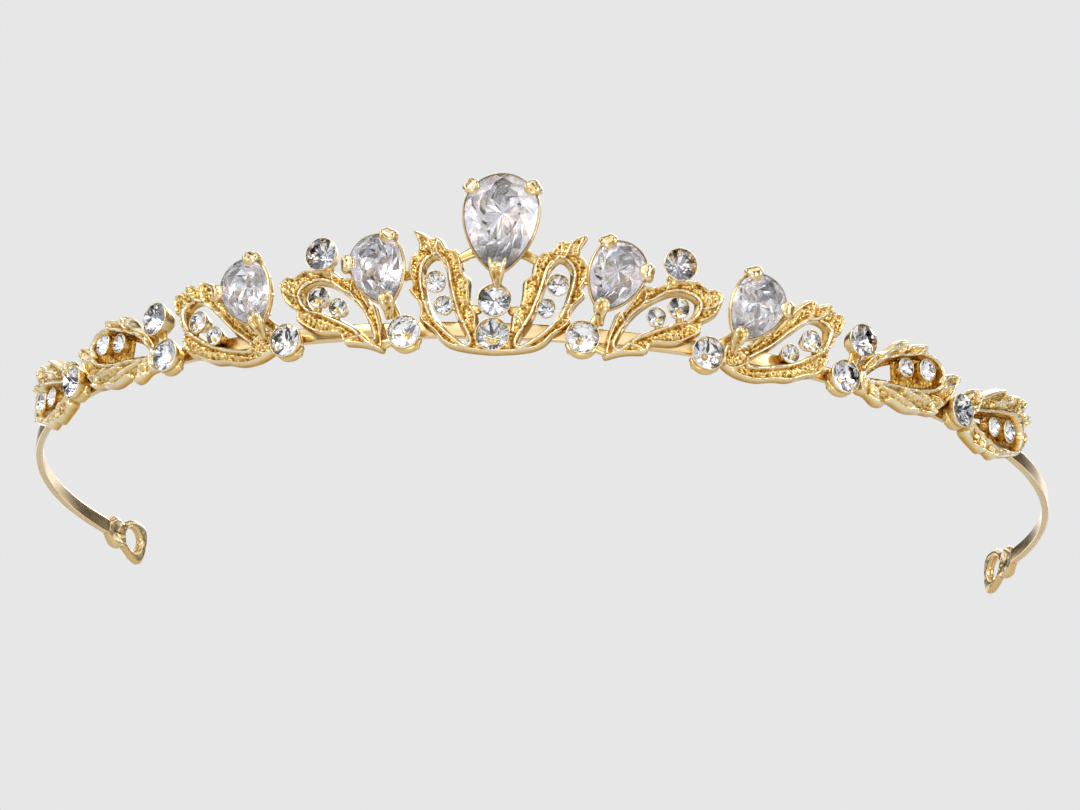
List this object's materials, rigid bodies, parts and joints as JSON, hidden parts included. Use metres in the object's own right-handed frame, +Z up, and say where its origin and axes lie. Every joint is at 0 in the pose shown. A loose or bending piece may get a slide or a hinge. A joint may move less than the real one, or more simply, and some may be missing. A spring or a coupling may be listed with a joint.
{
  "type": "bridal tiara",
  "caption": "Open-backed bridal tiara: a slim arched metal headband with leafy openwork castings, claw-set pear stones, round stones and an eyelet at each end.",
  "frame": {"origin": "centre of the tiara's box, on the surface it rests on", "axes": "+Z up. The decorated front faces -Y. +X is to the right as seen from the front."},
  "size_m": [0.143, 0.1124, 0.0246],
  "materials": {
    "band_metal": "polished pale gold plating",
    "cast_metal": "textured casting with polished pale gold plating",
    "claw_metal": "polished pale gold plating",
    "pear_stone": "clear faceted stone",
    "round_stone": "clear faceted stone with a mirror back"
  },
  "bodies": {
    "root": {"base_stone_centre": "round_stone", "base_stone_left_1": "round_stone", "base_stone_left_2": "round_stone", "base_stone_left_3": "round_stone", "base_stone_left_4": "round_stone", "base_stone_right_1": "round_stone", "base_stone_right_2": "round_stone", "base_stone_right_3": "round_stone", "base_stone_right_4": "round_stone", "casting_centre": "cast_metal", "casting_left_1": "cast_metal", "casting_left_2": "cast_metal", "casting_left_3": "cast_metal", "casting_left_4": "cast_metal", "casting_right_1": "cast_metal", "casting_right_2": "cast_metal", "casting_right_3": "cast_metal", "casting_right_4": "cast_metal", "end_loop_left": "band_metal", "end_loop_right": "band_metal", "headband": "band_metal", "loop_stone_left_0_large": "round_stone", "loop_stone_left_0_small": "round_stone", "loop_stone_left_1_large": "round_stone", "loop_stone_left_1_small": "round_stone", "loop_stone_left_2_large": "round_stone", "loop_stone_left_2_small": "round_stone", "loop_stone_left_3_large": "round_stone", "loop_stone_left_3_small": "round_stone", "loop_stone_left_4_large": "round_stone", "loop_stone_left_4_small": "round_stone", "loop_stone_right_0_large": "round_stone", "loop_stone_right_0_small": "round_stone", "loop_stone_right_1_large": "round_stone", "loop_stone_right_1_small": "round_stone", "loop_stone_right_2_large": "round_stone", "loop_stone_right_2_small": "round_stone", "loop_stone_right_3_large": "round_stone", "loop_stone_right_3_small": "round_stone", "loop_stone_right_4_large": "round_stone", "loop_stone_right_4_small": "round_stone", "pear_setting_centre": "claw_metal", "pear_setting_left_1": "claw_metal", "pear_setting_left_2": "claw_metal", "pear_setting_right_1": "claw_metal", "pear_setting_right_2": "claw_metal", "pear_stone_centre": "pear_stone", "pear_stone_left_1": "pear_stone", "pear_stone_left_2": "pear_stone", "pear_stone_right_1": "pear_stone", "pear_stone_right_2": "pear_stone", "upper_stone_centre": "round_stone", "upper_stone_left_1": "round_stone", "upper_stone_left_3": "round_stone", "upper_stone_right_1": "round_stone", "upper_stone_right_3": "round_stone"}
  },
  "joints": []
}
